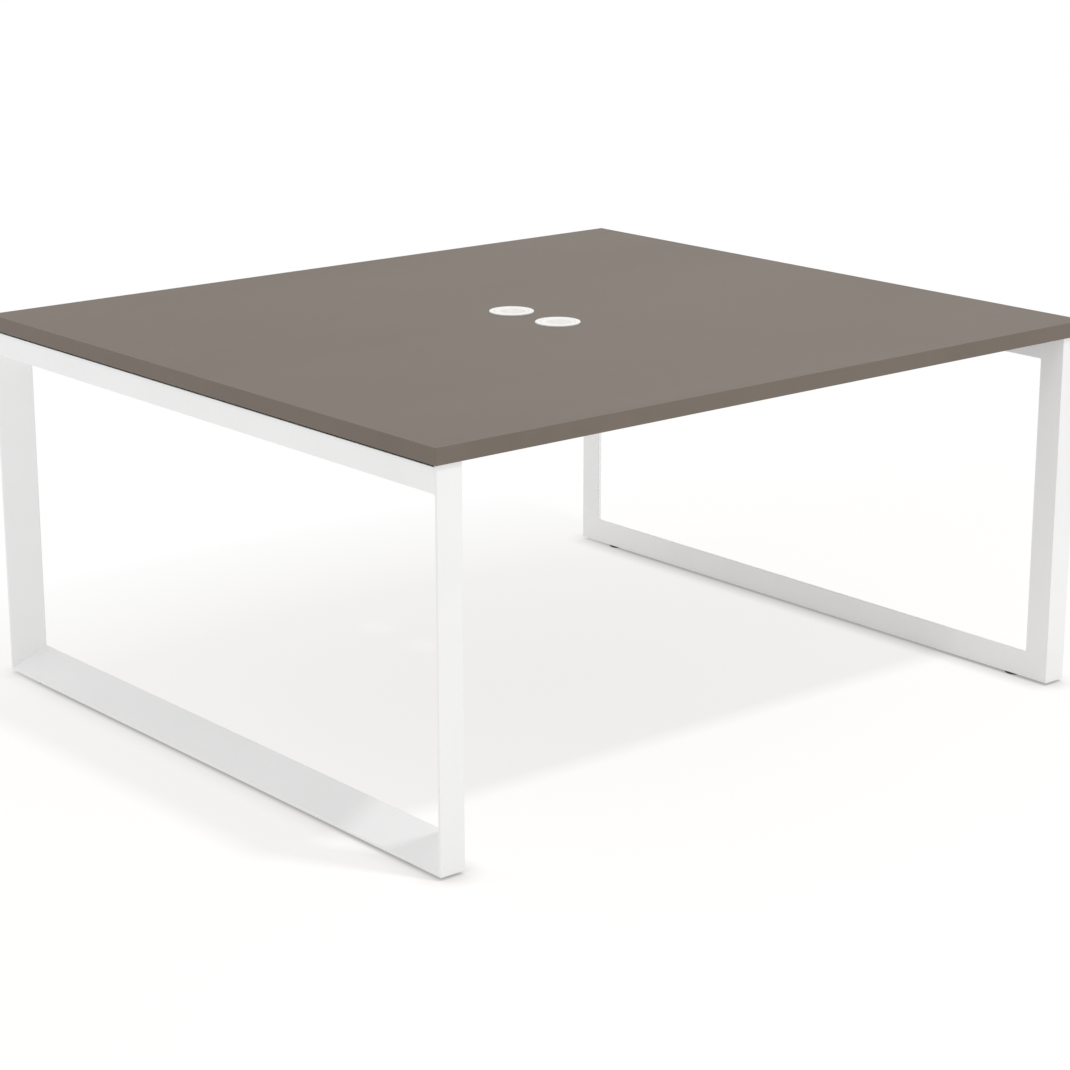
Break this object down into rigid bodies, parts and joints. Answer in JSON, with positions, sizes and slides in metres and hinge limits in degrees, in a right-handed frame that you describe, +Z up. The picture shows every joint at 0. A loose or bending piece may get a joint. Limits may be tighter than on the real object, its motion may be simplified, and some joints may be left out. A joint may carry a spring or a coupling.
{
  "type": "meeting table",
  "caption": "Rectangular meeting table: flat laminate top with lidded cable ports, on loop-shaped end frames of bevelled steel tube with levelling feet.",
  "frame": {"origin": "middle of the table's footprint, on the floor", "axes": "+X along the top's long side, +Y from the front edge to the back edge, +Z up"},
  "size_m": [1.6, 1.42, 0.7423],
  "materials": {
    "top_laminate": "matt laminate, fine even texture",
    "edge_band": "satin plastic edging in the top's colour",
    "port_plastic": "moulded, soft sheen",
    "frame_paint": "powder coat, fine texture, satin",
    "zinc_steel": "zinc plated",
    "black_rubber": "matt",
    "black_plastic": "moulded, matt"
  },
  "bodies": {
    "table": {"top_board": "top_laminate", "front_edge_band": "edge_band", "back_edge_band": "edge_band", "left_edge_band": "edge_band", "right_edge_band": "edge_band", "front_cable_port": "port_plastic", "back_cable_port": "port_plastic", "left_front_post": "frame_paint", "left_back_post": "frame_paint", "right_front_post": "frame_paint", "right_back_post": "frame_paint", "left_front_post_cap": "frame_paint", "left_back_post_cap": "frame_paint", "right_front_post_cap": "frame_paint", "right_back_post_cap": "frame_paint", "left_bottom_rail": "frame_paint", "left_top_rail": "frame_paint", "right_bottom_rail": "frame_paint", "right_top_rail": "frame_paint", "front_beam": "frame_paint", "back_beam": "frame_paint", "left_front_beam_plate": "frame_paint", "left_back_beam_plate": "frame_paint", "right_front_beam_plate": "frame_paint", "right_back_beam_plate": "frame_paint", "beam_bolts": "zinc_steel", "beam_weld_nuts": "zinc_steel", "rail_screws": "zinc_steel", "beam_screws": "zinc_steel", "top_inserts": "zinc_steel", "foot_rivet_nuts": "zinc_steel", "top_spacers": "black_rubber"},
    "left_front_leveller": {"left_front_foot": "black_plastic", "left_front_foot_stud": "zinc_steel"},
    "left_back_leveller": {"left_back_foot": "black_plastic", "left_back_foot_stud": "zinc_steel"},
    "right_front_leveller": {"right_front_foot": "black_plastic", "right_front_foot_stud": "zinc_steel"},
    "right_back_leveller": {"right_back_foot": "black_plastic", "right_back_foot_stud": "zinc_steel"},
    "front_lid": {"front_port_lid": "port_plastic"},
    "back_lid": {"back_port_lid": "port_plastic"}
  },
  "joints": [
    {"name": "left_front_leveller_screw", "type": "slide", "parent": "table", "child": "left_front_leveller", "axis": [0, 0, -1], "range_m": [0, 0.012]},
    {"name": "left_back_leveller_screw", "type": "slide", "parent": "table", "child": "left_back_leveller", "axis": [0, 0, -1], "range_m": [0, 0.012]},
    {"name": "right_front_leveller_screw", "type": "slide", "parent": "table", "child": "right_front_leveller", "axis": [0, 0, -1], "range_m": [0, 0.012]},
    {"name": "right_back_leveller_screw", "type": "slide", "parent": "table", "child": "right_back_leveller", "axis": [0, 0, -1], "range_m": [0, 0.012]},
    {"name": "front_lid_turn", "type": "hinge", "parent": "table", "child": "front_lid", "pos_m": [0, -0.07, 0.7383], "axis": [0, 0, 1], "continuous": true},
    {"name": "back_lid_turn", "type": "hinge", "parent": "table", "child": "back_lid", "pos_m": [0, 0.07, 0.7383], "axis": [0, 0, 1], "continuous": true}
  ]
}
